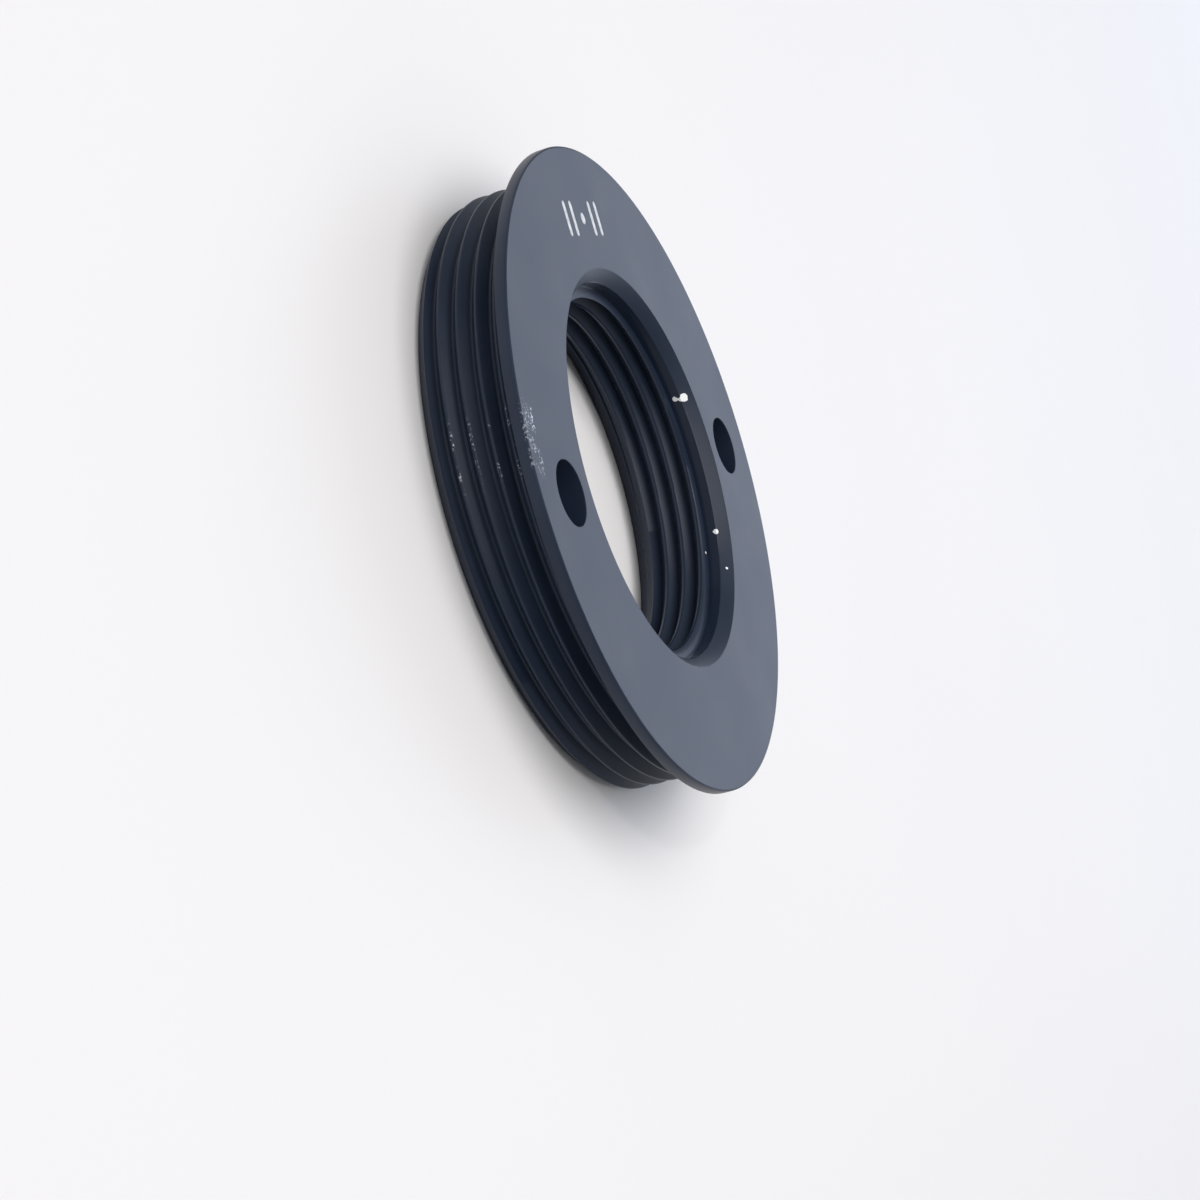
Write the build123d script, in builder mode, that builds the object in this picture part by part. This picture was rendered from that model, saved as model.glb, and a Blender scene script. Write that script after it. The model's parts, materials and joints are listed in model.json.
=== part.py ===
from build123d import *

import os
from math import radians, tan

# Adapter ring that screws a small lens into a larger camera mount.
#
# One turned piece: a threaded barrel with a thin flange on top, a threaded bore
# with a chamfer at each end, and blind holes in the flange face for a pin
# spanner. The ring rests on its threaded end. The origin is the centre of that
# end, and +Z points out of the flange face. Both threads stand as plain
# cylinders at their crests. Sizes are in millimetres.

# Threads, both cut at the same pitch, the lens thread a step smaller than the camera thread
thread_pitch = 25.4 / 32
camera_thread_d = 25.4
thread_step_down = 9.525
lens_thread_d = camera_thread_d - thread_step_down
lens_thread_depth = 0.54127 * thread_pitch

# Ring and flange
ring_height = 4.55
flange_thickness = 0.5
flange_overhang = 1.0
flange_edge_break = 0.08

# Chamfers, all at 45 degrees
barrel_lead_chamfer = 0.6
bore_mouth_chamfer = 0.99
bore_end_chamfer = 1.15

# Spanner holes
spanner_hole_count = 2
spanner_hole_d = 2.6
spanner_hole_depth = 2.0
drill_point_angle = 118

# Radii and heights that follow
barrel_r = camera_thread_d / 2
flange_r = barrel_r + flange_overhang
flange_underside = ring_height - flange_thickness
bore_r = lens_thread_d / 2 - lens_thread_depth
mouth_r = bore_r + bore_mouth_chamfer
end_r = bore_r + bore_end_chamfer
spanner_hole_r = spanner_hole_d / 2
spanner_circle_r = (mouth_r + barrel_r) / 2
spanner_hole_bottom = ring_height - spanner_hole_depth
drill_point_height = spanner_hole_r / tan(radians(drill_point_angle / 2))

with BuildPart() as adapter_ring:
    # Turned section, revolved about the axis
    with BuildSketch(Plane.XZ):
        with BuildLine():
            Polyline(
                (end_r, 0),
                (barrel_r - barrel_lead_chamfer, 0),
                (barrel_r, barrel_lead_chamfer),
                (barrel_r, flange_underside),
                (flange_r, flange_underside),
                (flange_r, ring_height - flange_edge_break),
                (flange_r - flange_edge_break, ring_height),
                (mouth_r, ring_height),
                (bore_r, ring_height - bore_mouth_chamfer),
                (bore_r, bore_end_chamfer),
                close=True,
            )
        make_face()
    revolve(axis=Axis.Z)

    # Blind spanner holes, drilled from the flange face down the middle of the barrel's wall
    with Locations(Plane.XY.offset(ring_height)):
        with PolarLocations(spanner_circle_r, spanner_hole_count):
            Hole(spanner_hole_r, depth=spanner_hole_depth)

    # Cone that the drill leaves at the bottom of each hole
    with Locations(Plane.XY.offset(spanner_hole_bottom)):
        with PolarLocations(spanner_circle_r, spanner_hole_count):
            Cone(
                bottom_radius=0,
                top_radius=spanner_hole_r,
                height=drill_point_height,
                align=(Align.CENTER, Align.CENTER, Align.MAX),
                mode=Mode.SUBTRACT,
            )

adapter_ring.part.label = "adapter_ring"
os.makedirs("parts", exist_ok=True)
export_step(adapter_ring.part, "parts/adapter_ring.step")
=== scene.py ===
"""Dresses the lens mount adapter ring: one turned ring with both screw threads cut as true
helices, its spanner holes, a filled index mark and worn black anodising with a painted
highlight on the near crests, on a pale studio floor."""

import json
from math import cos, pi, radians, sin, tan

import bmesh
import bpy
import numpy as np
from mathutils import Matrix, Quaternion, Vector


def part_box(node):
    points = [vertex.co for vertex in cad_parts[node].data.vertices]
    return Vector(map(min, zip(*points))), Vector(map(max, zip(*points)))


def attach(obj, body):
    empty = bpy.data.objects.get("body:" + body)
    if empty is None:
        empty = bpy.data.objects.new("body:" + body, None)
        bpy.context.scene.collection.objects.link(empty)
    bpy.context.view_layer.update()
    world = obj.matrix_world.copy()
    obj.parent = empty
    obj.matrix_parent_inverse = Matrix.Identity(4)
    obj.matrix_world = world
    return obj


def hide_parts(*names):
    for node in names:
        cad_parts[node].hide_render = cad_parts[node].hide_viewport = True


bl_info = {
    "name": "Lens Mount Adapter Ring",
    "version": (1, 0, 0),
    "blender": (4, 5, 0),
    "location": "View3D > Sidebar > Adapter Ring",
    "description": "Builds a threaded lens mount adapter ring, its anodised finish and a pale studio",
    "category": "Object",
}

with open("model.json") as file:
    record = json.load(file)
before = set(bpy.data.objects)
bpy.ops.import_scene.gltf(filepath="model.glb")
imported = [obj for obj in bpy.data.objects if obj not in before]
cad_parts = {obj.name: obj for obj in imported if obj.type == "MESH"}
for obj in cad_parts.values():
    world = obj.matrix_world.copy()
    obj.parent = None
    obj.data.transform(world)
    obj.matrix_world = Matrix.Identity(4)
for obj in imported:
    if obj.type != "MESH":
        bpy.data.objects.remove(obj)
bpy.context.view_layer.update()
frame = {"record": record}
mounts = {mount["name"]: mount["dims"] for mount in frame["record"]["mounts"]}
_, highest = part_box("adapter_ring")


# Properties


def length(name, description, default):
    """A length in metres."""
    return bpy.props.FloatProperty(
        name=name, description=description, default=default, min=0, precision=6, unit="LENGTH"
    )


def turn(name, description, default):
    """An angle, with its default in degrees."""
    return bpy.props.FloatProperty(
        name=name, description=description, default=radians(default), subtype="ANGLE"
    )


def share(name, description, default):
    """A number from 0 to 1."""
    return bpy.props.FloatProperty(
        name=name, description=description, default=default, min=0, max=1, subtype="FACTOR"
    )


def colour(name, description, default):
    """A colour in linear light."""
    return bpy.props.FloatVectorProperty(
        name=name, description=description, default=default, min=0, max=1, subtype="COLOR"
    )


def point(name, description, default):
    """A place in metres."""
    return bpy.props.FloatVectorProperty(
        name=name, description=description, default=default, precision=6, subtype="TRANSLATION"
    )


class RingSizes(bpy.types.PropertyGroup):
    """Sizes of the turned ring."""

    sides: bpy.props.IntProperty(
        name="Sides", description="Steps round the ring", default=384, min=24
    )
    height: length("Height", "Height of the ring", highest.z)
    flange_radius: length("Flange Radius", "Radius of the flange", highest.x)
    flange_thickness: length("Flange Thickness", "Thickness of the flange", 0.0005)
    pitch: length("Pitch", "Pitch of both threads", 0.00079375)
    camera_crest: length(
        "Camera Thread", "Crest radius of the outer thread", mounts["camera_thread"]["r_mm"] / 1000
    )
    camera_depth: length("Camera Thread Depth", "Depth of the outer thread", 0.000487)
    camera_flat: length("Camera Thread Flat", "Width of the outer crests", 0.0000992)
    camera_start: length(
        "Camera Thread Start", "Height of an outer crest at angle zero", 0.0000457
    )
    lens_crest: length(
        "Lens Thread", "Crest radius of the inner thread", mounts["lens_thread"]["r_mm"] / 1000
    )
    lens_depth: length("Lens Thread Depth", "Depth of the inner thread", 0.00052)
    lens_flat: length("Lens Thread Flat", "Width of the inner crests", 0.000165)
    lens_start: length("Lens Thread Start", "Height of an inner crest at angle zero", 0.00028)
    crest_break: length("Crest Break", "Rounding of the thread crests", 0.00003)
    lead_chamfer: length("Lead Chamfer", "Chamfer at the end of the outer thread", 0.0006)
    recess_radius: length("Recess Radius", "Radius of the recess at the bore's mouth", 0.0080279)
    recess_depth: length("Recess Depth", "From the flange face to the recess's floor", 0.001)
    mouth_chamfer: length("Mouth Chamfer", "Chamfer at the bore's mouth", 0.00047)
    end_chamfer: length("End Chamfer", "Chamfer at the bore's end", 0.00115)
    edge_break: length("Edge Break", "Broken edge round the flange face", 0.00008)


class HoleSizes(bpy.types.PropertyGroup):
    """Sizes of the blind spanner holes."""

    sides: bpy.props.IntProperty(
        name="Sides", description="Steps round a hole", default=64, min=12
    )
    circle_radius: length(
        "Hole Circle", "Radius of the circle of holes", mounts["spanner_holes"]["pcd_mm"] / 2000
    )
    radius: length("Hole Radius", "Radius of a hole", mounts["spanner_holes"]["hole_r_mm"] / 1000)
    depth: length("Hole Depth", "Depth of the full bore", 0.002)
    point: turn("Drill Point", "Angle of the cone at the bottom", 118)
    edge_break: length("Edge Break", "Broken edge round a hole", 0.00003)


class MarkSizes(bpy.types.PropertyGroup):
    """Sizes of the filled index mark on the flange face."""

    distance: length("Distance", "From the axis to the middle of the mark", 0.01062)
    dot_radius: length("Dot Radius", "Radius of the dot in the middle", 0.00025)
    bar_height: length("Bar Height", "Height of each bar", 0.0015)
    bar_width: length("Bar Width", "Width of each bar", 0.00034)
    bar_gap: length("Bar Gap", "From the middle to the inner bar", 0.00115)
    bar_step: length("Bar Step", "From the inner to the outer bar", 0.0008)
    depth: length("Depth", "How far the fill lies below the face", 0.00001)


class RingFinish(bpy.types.PropertyGroup):
    """Colours and surface of the ring."""

    black: colour("Black", "Anodised black", (0.013, 0.021, 0.040))
    bloom: colour("Bloom", "Lighter patches in the black", (0.017, 0.026, 0.048))
    # Aluminium colour of the worn crests, also used as a painted highlight on the crests facing the
    # camera
    bare_and_glint: colour("Bare Metal", "Aluminium where the black is worn off", (0.62, 0.63, 0.65))
    fill: colour("Fill", "Paint in the index mark", (0.72, 0.74, 0.76))
    chip: colour("Chip", "Pale metal in the chips", (0.95, 0.95, 0.95))
    roughness: share("Roughness", "Roughness of the anodised surface", 0.4)
    gloss: share("Gloss", "Specular level of the anodised surface", 0.25)
    # Strength of the worn bright crests, which are partly worn metal and partly a painted highlight
    wear_and_glint: share("Wear And Glint", "How far the crests are rubbed bright", 0.5)


class StudioLook(bpy.types.PropertyGroup):
    """Floor, light and camera."""

    floor: colour("Floor", "Colour of the floor", (0.865, 0.845, 0.84))
    floor_size: length("Floor Size", "Width of the floor", 3.0)
    sky: colour("Sky", "Colour of the light from all round", (0.93, 0.96, 1))
    sky_strength: share("Sky Strength", "Strength of the light from all round", 0.35)
    azimuth: turn("Azimuth", "Direction from the ring to the camera", 176.906)
    elevation: turn("Elevation", "Height of the camera over the floor", 20.0404)
    roll: turn("Roll", "Turn of the camera about its axis", 74.7482)
    look_at: point("Look At", "Middle of the view", (-0.00077346, -0.00466525, 0.000848))
    distance: length("Distance", "From the camera to the middle of the view", 0.10235)
    focal_length: bpy.props.FloatProperty(
        name="Focal Length", description="In millimetres on a 36 mm sensor", default=73.781
    )


# Meshes

# Slope of a thread's flanks, and the bend from which an edge is shaded sharp
FLANK = radians(30)
SHARP = radians(35)

# Steps round the dot of the mark, and round each end of its bars
DOT_SIDES = 24
BAR_END_STEPS = 16


def thread_corners(crest, depth, pitch, crest_flat, crest_break):
    """Corners of one turn as (height, radius), from a root to the next, with flanks at 60 degrees.
    The edges of the crest and the root are rounded. A negative depth cuts into a bore."""
    out = 1 if depth > 0 else -1
    root = crest - depth
    half_flank = abs(depth) * tan(FLANK)
    half_root = pitch / 2 - crest_flat / 2 - half_flank
    root_break = half_root / 2
    crest_edge = half_root + half_flank
    up = [
        (half_root - root_break, root),
        (half_root + root_break * sin(FLANK), root + out * root_break * cos(FLANK)),
        (crest_edge - crest_break * sin(FLANK), crest - out * crest_break * cos(FLANK)),
        (crest_edge + crest_break, crest),
    ]
    return up + [(pitch - height, radius) for height, radius in reversed(up)]


class Thread:
    """A right-hand thread, whose corners climb one pitch in a turn."""

    def __init__(self, corners, pitch, crest_height):
        self.corners = corners
        self.pitch = pitch
        self.base = crest_height - pitch / 2

    def points(self, angle, low, high):
        """Keys, heights and radii of the corners at an angle, reaching past low and high."""
        start = self.base + self.pitch * angle / (2 * pi)
        first = int((low - start) // self.pitch) - 1
        last = int((high - start) // self.pitch) + 1
        return [
            (lap * len(self.corners) + number, start + lap * self.pitch + height, radius)
            for lap in range(first, last + 1)
            for number, (height, radius) in enumerate(self.corners)
        ]


def wall_points(thread, turned, angle, keep):
    """Points up a threaded wall at an angle, as (key, height, radius). turned is the wall before
    the thread, and keep is min for a shaft or max for a bore."""
    low, high = turned[0][0], turned[-1][0]
    corners = thread.points(angle, low, high)
    thread_heights = [height for _, height, _ in corners]
    thread_radii = [radius for _, _, radius in corners]
    turned_heights = [height for height, _ in turned]
    turned_radii = [radius for _, radius in turned]

    knots = [(height, ("thread", key)) for key, height, _ in corners if low < height < high]
    knots += [(height, ("turned", number)) for number, height in enumerate(turned_heights)]
    knots.sort()
    heights = [height for height, _ in knots]
    on_thread = np.interp(heights, thread_heights, thread_radii)
    on_turned = np.interp(heights, turned_heights, turned_radii)

    points = []
    for number, (height, key) in enumerate(knots):
        radius = keep(on_thread[number], on_turned[number])
        own = on_thread[number] if key[0] == "thread" else on_turned[number]
        at_end = number in (0, len(knots) - 1)
        if at_end or radius == own:
            points.append((key, height, radius))
        if number + 1 < len(knots):
            here = on_thread[number] - on_turned[number]
            there = on_thread[number + 1] - on_turned[number + 1]
            if here * there < 0:
                part = here / (here - there)
                cross = height + part * (heights[number + 1] - height)
                crossed_corner = max(corner[0] for corner in corners if corner[1] <= height)
                crossed_piece = max(n for n, h in enumerate(turned_heights) if h <= height)
                points.append(
                    (
                        ("cross", crossed_corner, crossed_piece),
                        cross,
                        np.interp(cross, thread_heights, thread_radii),
                    )
                )
    return points


def key_one_turn_on(key, corners):
    """The key that a point at angle zero has when it is reached from a full turn."""
    if key[0] == "turned":
        return key
    return (key[0], key[1] - corners, *key[2:])


def knit(mesh, left, right):
    """Faces between two columns of (key, vertex), which share most of their keys."""
    left_keys = {key for key, _ in left}
    right_keys = {key for key, _ in right}
    i = j = 0
    while i + 1 < len(left) or j + 1 < len(right):
        up_left = left[i + 1] if i + 1 < len(left) else None
        up_right = right[j + 1] if j + 1 < len(right) else None
        if up_left and up_right and up_left[0] == up_right[0]:
            mesh.faces.new((left[i][1], right[j][1], up_right[1], up_left[1]))
            i += 1
            j += 1
        elif up_left and up_left[0] not in right_keys:
            mesh.faces.new((left[i][1], right[j][1], up_left[1]))
            i += 1
        elif up_right and up_right[0] not in left_keys:
            mesh.faces.new((left[i][1], right[j][1], up_right[1]))
            j += 1
        else:
            raise RuntimeError("two columns of the thread don't match")


def at(radius, angle, height):
    """A point, from its distance to the axis, its angle and its height."""
    return Vector((radius * cos(angle), radius * sin(angle), height))


def threaded_wall(mesh, thread, turned, beyond, sides, keep):
    """A wall with a thread and, past its top, plain turned points. Returns its two end rings."""
    columns = []
    for step in range(sides):
        angle = 2 * pi * step / sides
        points = wall_points(thread, turned, angle, keep)
        points += [(("beyond", n), height, radius) for n, (height, radius) in enumerate(beyond)]
        columns.append(
            [(key, mesh.verts.new(at(radius, angle, height))) for key, height, radius in points]
        )
    turned_on = [
        (key if key[0] == "beyond" else key_one_turn_on(key, len(thread.corners)), vertex)
        for key, vertex in columns[0]
    ]
    for left, right in zip(columns, columns[1:] + [turned_on]):
        knit(mesh, left, right)
    return [column[0][1] for column in columns], [column[-1][1] for column in columns]


def loop_edges(mesh, loop):
    """The edges of a closed loop of vertices, made where they are missing."""
    edges = []
    for first, second in zip(loop, loop[1:] + loop[:1]):
        edge = mesh.edges.get((first, second))
        edges.append(edge or mesh.edges.new((first, second)))
    return edges


def bridge(mesh, lower, upper):
    """Quads between two loops with as many vertices."""
    count = len(lower)
    for n in range(count):
        m = (n + 1) % count
        mesh.faces.new((lower[n], lower[m], upper[m], upper[n]))


def spanner_hole(mesh, holes, centre, top):
    """A blind drilled hole. Returns the loop at its mouth."""
    levels = [
        (holes.radius + holes.edge_break, top),
        (holes.radius + holes.edge_break / 4, top - holes.edge_break / 2),
        (holes.radius, top - 1.5 * holes.edge_break),
        (holes.radius, top - holes.depth),
    ]
    loops = [
        [
            mesh.verts.new(centre + at(radius, 2 * pi * n / holes.sides, height))
            for n in range(holes.sides)
        ]
        for radius, height in levels
    ]
    for upper, lower in zip(loops, loops[1:]):
        bridge(mesh, lower, upper)
    tip = top - holes.depth - holes.radius / tan(holes.point / 2)
    apex = mesh.verts.new(centre + Vector((0, 0, tip)))
    for n in range(holes.sides):
        mesh.faces.new((loops[-1][n], loops[-1][(n + 1) % holes.sides], apex))
    return loops[0]


def mark_outlines(mark):
    """Closed outlines of the index mark in the face's plane: a dot between two pairs of bars."""
    middle = Vector((0, mark.distance))
    dot = [
        middle
        + mark.dot_radius * Vector((cos(2 * pi * n / DOT_SIDES), sin(2 * pi * n / DOT_SIDES)))
        for n in range(DOT_SIDES)
    ]
    outlines = [dot]
    for across in (
        -mark.bar_gap - mark.bar_step,
        -mark.bar_gap,
        mark.bar_gap,
        mark.bar_gap + mark.bar_step,
    ):
        bar = []
        end = mark.bar_width / 2
        straight = mark.bar_height / 2 - end
        for start, along in ((0, straight), (pi, -straight)):
            for n in range(BAR_END_STEPS + 1):
                angle = start + pi * n / BAR_END_STEPS
                bar.append(middle + Vector((across + end * cos(angle), along + end * sin(angle))))
        outlines.append(bar)
    return outlines


def filled_recess(mesh, outline, top, depth):
    """A shallow recess whose floor is the paint. Returns the loop at the face."""
    rim = [mesh.verts.new((point.x, point.y, top)) for point in outline]
    floor = [mesh.verts.new((point.x, point.y, top - depth)) for point in outline]
    bridge(mesh, floor, rim)
    paint = mesh.faces.new(floor)
    paint.material_index = 1
    return rim


def ring_mesh(sizes, holes, mark):
    """The whole ring as one closed mesh."""
    mesh = bmesh.new()
    top = sizes.height
    under = top - sizes.flange_thickness
    barrel = sizes.camera_crest
    lead = barrel - sizes.lead_chamfer
    mouth = sizes.recess_radius + sizes.mouth_chamfer
    ledge = top - sizes.recess_depth
    end = sizes.lens_crest + sizes.end_chamfer
    flange = sizes.flange_radius
    broken = sizes.edge_break
    nick = broken / 4

    outer_corners = thread_corners(
        barrel, sizes.camera_depth, sizes.pitch, sizes.camera_flat, sizes.crest_break
    )
    outer = Thread(outer_corners, sizes.pitch, sizes.camera_start)
    # The chamfer at 45 degrees runs on past the crests, and from there the thread is whole
    past_crests = sizes.flange_thickness * 3
    outer_turned = [
        (0, lead - nick),
        (nick, lead + nick),
        (past_crests, lead + past_crests),
        (under, lead + past_crests),
    ]
    flange_points = [
        (under, flange - broken / 2),
        (under + broken / 6, flange - broken / 6),
        (under + broken / 2, flange),
        (top - broken, flange),
        (top - 0.3 * broken, flange - 0.3 * broken),
        (top, flange - broken),
    ]
    end_outside, face_outside = threaded_wall(
        mesh, outer, outer_turned, flange_points, sizes.sides, min
    )

    inner_corners = thread_corners(
        sizes.lens_crest, -sizes.lens_depth, sizes.pitch, sizes.lens_flat, sizes.crest_break
    )
    inner = Thread(inner_corners, sizes.pitch, sizes.lens_start)
    # Well inside the crests, so that the thread is whole between the chamfer and the recess
    inside = sizes.lens_crest - sizes.lens_depth
    inner_turned = [
        (0, end + nick),
        (nick, end - nick),
        (end - inside, inside),
        (ledge - nick / 2, inside),
        (ledge, sizes.recess_radius),
        (top - sizes.mouth_chamfer, sizes.recess_radius),
        (top - nick, mouth - nick),
        (top, mouth + nick),
    ]
    end_inside, face_inside = threaded_wall(mesh, inner, inner_turned, [], sizes.sides, max)

    bridge(mesh, end_outside, end_inside)
    loops = [face_outside, face_inside]
    for angle in (0, pi):
        loops.append(spanner_hole(mesh, holes, at(holes.circle_radius, angle, 0), top))
    for outline in mark_outlines(mark):
        loops.append(filled_recess(mesh, outline, top, mark.depth))
    rims = [edge for loop in loops for edge in loop_edges(mesh, loop)]
    bmesh.ops.triangle_fill(mesh, use_beauty=True, edges=rims, normal=(0, 0, 1))
    bmesh.ops.recalc_face_normals(mesh, faces=mesh.faces)
    for face in mesh.faces:
        face.smooth = True
    for edge in mesh.edges:
        edge.smooth = edge.calc_face_angle() < SHARP
    for edge in rims:
        edge.smooth = False
    return mesh


# Materials


class Value:
    """A socket of a node, with maths written as expressions."""

    def __init__(self, paint, socket):
        self.paint = paint
        self.socket = socket

    def maths(self, operation, *values):
        return self.paint.node(
            "ShaderNodeMath", {"operation": operation}, dict(enumerate(values))
        )

    def __add__(self, other):
        return self.maths("ADD", self, other)

    __radd__ = __add__

    def __mul__(self, other):
        return self.maths("MULTIPLY", self, other)

    def __sub__(self, other):
        return self.maths("SUBTRACT", self, other)

    def __rsub__(self, other):
        return self.maths("SUBTRACT", other, self)

    def __pow__(self, other):
        return self.maths("POWER", self, other)


class Paint:
    """A material and the nodes that feed its surface."""

    def __init__(self, name):
        self.material = bpy.data.materials.new(name)
        self.material.use_nodes = True
        self.tree = self.material.node_tree
        self.surface = self.tree.nodes["Principled BSDF"]

    def node(self, kind, settings, inputs, output=0):
        """A new node: its settings are set first, then its sockets get values or links."""
        node = self.tree.nodes.new(kind)
        for name, value in settings.items():
            setattr(node, name, value)
        for name, value in inputs.items():
            if isinstance(value, Value):
                self.tree.links.new(value.socket, node.inputs[name])
            else:
                node.inputs[name].default_value = value
        return Value(self, node.outputs[output])

    def noise(self, place, scale, detail=2.0, roughness=0.5):
        """Noise from 0 to 1, with scale in features to the metre."""
        sockets = {"Vector": place, "Scale": scale, "Detail": detail, "Roughness": roughness}
        return self.node("ShaderNodeTexNoise", {}, sockets)

    def step(self, value, low, high):
        """0 below low and 1 above high, with a smooth way between."""
        return self.node(
            "ShaderNodeMapRange",
            {"interpolation_type": "SMOOTHSTEP"},
            {"Value": value, "From Min": low, "From Max": high},
        )

    def between(self, value, low, full, fading, gone):
        """1 from full to fading, and 0 below low and above gone."""
        return self.step(value, low, full) * (1 - self.step(value, fading, gone))

    def blend(self, factor, first, second):
        """A colour between two colours."""
        return self.node(
            "ShaderNodeMix", {"data_type": "RGBA"}, {0: factor, 6: first, 7: second}, output=2
        )

    def feed(self, **values):
        """Feeds the surface, by socket names with underscores for spaces."""
        for name, value in values.items():
            socket = self.surface.inputs[name.replace("_", " ")]
            if isinstance(value, Value):
                self.tree.links.new(value.socket, socket)
            else:
                socket.default_value = value


def opaque(rgb):
    """A colour with full alpha."""
    return (*rgb, 1)


# Where the crests are worn bright, partly worn metal and partly a painted highlight on the side
# facing the camera, in metres. Outward along -x this sets in between these two, and
# along y it sets in between the first two and fades between the last two
RUBBED_GLINT_OUT = (0.0095, 0.0118)
RUBBED_GLINT_ACROSS = (0.0006, 0.0016, 0.0032, 0.0040)

# Chips in the anodising: angle in degrees, then height, distance from the axis and size in metres
CHIPS = (
    (18.3, 0.00418, 0.00813, 0.00022),
    (18.9, 0.00384, 0.00803, 0.00013),
    (-26.0, 0.00405, 0.00803, 0.00013),
    (-33.0, 0.00352, 0.00785, 0.00007),
    (-38.7, 0.00432, 0.00827, 0.00006),
)


def anodised_paint(finish, sizes):
    """Satin black anodising, worn bright in specks with a painted highlight on the near crests,
    and chipped round the bore's mouth.
    """
    paint = Paint("anodised_black")
    place = paint.node("ShaderNodeTexCoord", {}, {}, output="Object")
    x = paint.node("ShaderNodeSeparateXYZ", {}, {0: place}, output="X")
    y = paint.node("ShaderNodeSeparateXYZ", {}, {0: place}, output="Y")
    z = paint.node("ShaderNodeSeparateXYZ", {}, {0: place}, output="Z")
    radius = (x * x + y * y) ** 0.5

    patches = paint.noise(place, 260, detail=3)
    black = paint.blend(paint.step(patches, 0.35, 0.7), opaque(finish.black), opaque(finish.bloom))

    # The camera thread's crests and the outer part of the flange face are worn bright in specks,
    # partly worn metal and partly a painted highlight on the side facing the camera
    camera_crest = sizes.camera_crest
    crests = paint.step(radius, camera_crest - 0.00004, camera_crest - 0.00001)
    near_side = paint.step(0 - x, *RUBBED_GLINT_OUT) * paint.between(y, *RUBBED_GLINT_ACROSS)
    rim = 1 - paint.step(radius, camera_crest + 0.0001, camera_crest + 0.0002)
    rim = rim + paint.step(z, sizes.height - 0.00012, sizes.height - 0.00004)
    clusters = paint.step(paint.noise(place, 1600, detail=2), 0.46, 0.58)
    speckle = paint.step(paint.noise(place, 9000, detail=3, roughness=0.6), 0.52, 0.60)
    # Worn metal and a painted highlight together, on the crests that face the camera
    rubbed_and_glint = crests * near_side * rim * speckle * clusters * finish.wear_and_glint

    # The lens thread is smoother in its roots and on its crests
    lens_crest, recess = sizes.lens_crest, sizes.recess_radius
    roots = paint.between(
        radius, lens_crest + 0.00046, lens_crest + 0.0005, recess + 0.00002, recess + 0.00004
    )
    bore_crests = 1 - paint.step(radius, lens_crest + 0.00001, lens_crest + 0.00004)

    ragged = paint.noise(place, 5000, detail=2) - 0.5
    chips = 0
    for angle, height, from_axis, size in CHIPS:
        middle = at(from_axis, radians(angle), height)
        away = paint.node(
            "ShaderNodeVectorMath", {"operation": "DISTANCE"}, {0: place, 1: middle}, output=1
        )
        chips = chips + (1 - paint.step(away + ragged * (1.5 * size), 0.85 * size, size))
    chips = chips.maths("MINIMUM", chips, 1)

    # Base colour turned to metal where the worn crests and the painted highlight are
    worn = paint.blend(rubbed_and_glint, black, opaque(finish.bare_and_glint))
    grain = paint.noise(place, 14000, detail=2) * 0.6 + paint.noise(place, 30000, detail=1) * 0.4
    bump = paint.node("ShaderNodeBump", {}, {"Strength": 0.12, "Distance": 0.00001, "Height": grain})
    roughness = finish.roughness - 0.06 + patches * 0.12
    paint.feed(
        Base_Color=paint.blend(chips, worn, opaque(finish.chip)),
        Metallic=rubbed_and_glint,
        Roughness=roughness - rubbed_and_glint * 0.15 - roots * 0.2 - bore_crests * 0.2,
        Normal=bump,
        Specular_IOR_Level=finish.gloss,
    )
    return paint.material


def fill_paint(finish):
    """Matt pale paint in the mark."""
    paint = Paint("mark_fill")
    place = paint.node("ShaderNodeTexCoord", {}, {}, output="Object")
    mottle = paint.noise(place, 5000, detail=3)
    worn = tuple(0.72 * part for part in finish.fill)
    paint.feed(
        Base_Color=paint.blend(paint.step(mottle, 0.3, 0.7), opaque(worn), opaque(finish.fill)),
        Roughness=0.55,
    )
    return paint.material


def floor_paint(look):
    """Pale board with a faint mottle."""
    paint = Paint("pale_floor")
    place = paint.node("ShaderNodeTexCoord", {}, {}, output="Object")
    mottle = paint.noise(place, 40, detail=3)
    darker = tuple(0.985 * part for part in look.floor)
    paint.feed(
        Base_Color=paint.blend(mottle, opaque(darker), opaque(look.floor)),
        Roughness=0.6,
    )
    return paint.material


# Pieces


def new_object(name, mesh):
    """An object from a bmesh, in the scene."""
    data = bpy.data.meshes.new(name)
    mesh.to_mesh(data)
    mesh.free()
    piece = bpy.data.objects.new(name, data)
    bpy.context.scene.collection.objects.link(piece)
    return piece


class ADAPTER_OT_ring(bpy.types.Operator):
    """Build the threaded ring with its spanner holes and index mark"""

    bl_idname = "adapter.ring"
    bl_label = "Threaded Ring"

    def execute(self, context):
        scene = context.scene
        mesh = ring_mesh(scene.ring_sizes, scene.hole_sizes, scene.mark_sizes)
        if any(not edge.is_manifold for edge in mesh.edges):
            raise RuntimeError("the ring isn't closed")
        ring = new_object("threaded_ring", mesh)
        ring.data.materials.append(anodised_paint(scene.ring_finish, scene.ring_sizes))
        ring.data.materials.append(fill_paint(scene.ring_finish))
        weighted = ring.modifiers.new("even_shading", "WEIGHTED_NORMAL")
        weighted.keep_sharp = True
        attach(ring, "root")
        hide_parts("adapter_ring")
        return {"FINISHED"}


# The softboxes: name, place and width in metres, power in watts, colour
LIGHTS = (
    ("overhead", (-0.35, 0.25, 1.1), 1.2, 12.5, (1, 0.985, 0.97)),
    ("far_side", (0.8, -0.05, 0.36), 0.6, 1.8, (0.72, 0.80, 1)),
    ("near_side", (-0.373, 0.170, 0.287), 0.02, 0.25, (0.95, 0.97, 1)),
)


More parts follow.
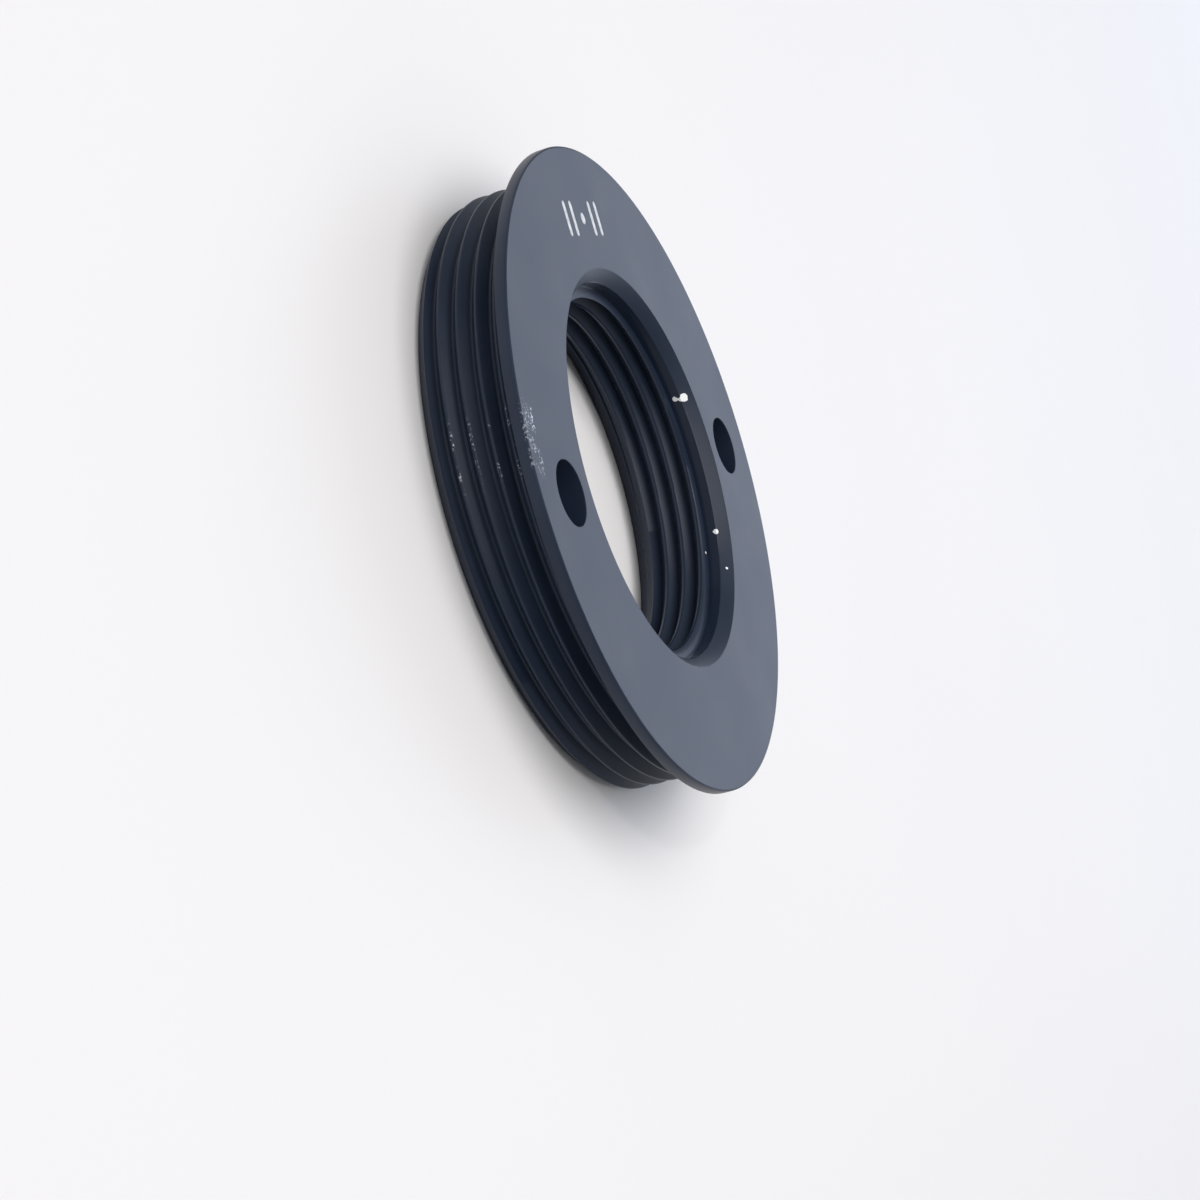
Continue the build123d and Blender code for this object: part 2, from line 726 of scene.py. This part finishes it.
def soft_light(name, place, size, power, tint):
    """A square softbox that faces the ring."""
    data = bpy.data.lights.new(name, "AREA")
    data.shape = "SQUARE"
    data.size = size
    data.energy = power
    data.color = tint
    light = bpy.data.objects.new(name, data)
    bpy.context.scene.collection.objects.link(light)
    aim = (-Vector(place)).to_track_quat("-Z", "Y")
    light.matrix_world = Matrix.LocRotScale(Vector(place), aim, None)


class ADAPTER_OT_stage(bpy.types.Operator):
    """Set up the pale floor, the soft lights and the camera"""

    bl_idname = "adapter.stage"
    bl_label = "Studio"

    def execute(self, context):
        look = context.scene.studio_look
        half = look.floor_size / 2
        mesh = bmesh.new()
        corners = [(-half, -half, 0), (half, -half, 0), (half, half, 0), (-half, half, 0)]
        mesh.faces.new([mesh.verts.new(corner) for corner in corners])
        floor = new_object("floor", mesh)
        floor.data.materials.append(floor_paint(look))

        world = bpy.data.worlds.new("studio")
        world.use_nodes = True
        background = world.node_tree.nodes["Background"]
        background.inputs["Color"].default_value = opaque(look.sky)
        background.inputs["Strength"].default_value = look.sky_strength
        context.scene.world = world
        for light in LIGHTS:
            soft_light(*light)

        data = bpy.data.cameras.new("camera")
        data.sensor_width = 36
        data.lens = look.focal_length
        data.clip_start = 0.005
        camera = bpy.data.objects.new("camera", data)
        context.scene.collection.objects.link(camera)
        out = Vector(
            (
                cos(look.elevation) * cos(look.azimuth),
                cos(look.elevation) * sin(look.azimuth),
                sin(look.elevation),
            )
        )
        level = (-out).to_track_quat("-Z", "Y")
        camera.matrix_world = Matrix.LocRotScale(
            Vector(look.look_at) + out * look.distance,
            level @ Quaternion((0, 0, 1), look.roll),
            None,
        )
        context.scene.camera = camera
        context.scene.view_settings.view_transform = "Standard"
        return {"FINISHED"}


class ADAPTER_PT_panel(bpy.types.Panel):
    """Lists the ring's pieces and the studio"""

    bl_idname = "ADAPTER_PT_panel"
    bl_label = "Adapter Ring"
    bl_space_type = "VIEW_3D"
    bl_region_type = "UI"
    bl_category = "Adapter Ring"

    def draw(self, context):
        for operator in (ADAPTER_OT_ring, ADAPTER_OT_stage):
            self.layout.operator(operator.bl_idname)


settings = {
    "ring_sizes": RingSizes,
    "hole_sizes": HoleSizes,
    "mark_sizes": MarkSizes,
    "ring_finish": RingFinish,
    "studio_look": StudioLook,
}
tools = (ADAPTER_OT_ring, ADAPTER_OT_stage, ADAPTER_PT_panel)


def register():
    for cls in (*settings.values(), *tools):
        bpy.utils.register_class(cls)
    for name, group in settings.items():
        setattr(bpy.types.Scene, name, bpy.props.PointerProperty(type=group))


def unregister():
    for name in settings:
        delattr(bpy.types.Scene, name)
    for cls in reversed((*settings.values(), *tools)):
        bpy.utils.unregister_class(cls)


def main():
    register()
    bpy.ops.adapter.ring()
    bpy.ops.adapter.stage()
    bpy.context.view_layer.update()


if __name__ == "__main__":
    main()
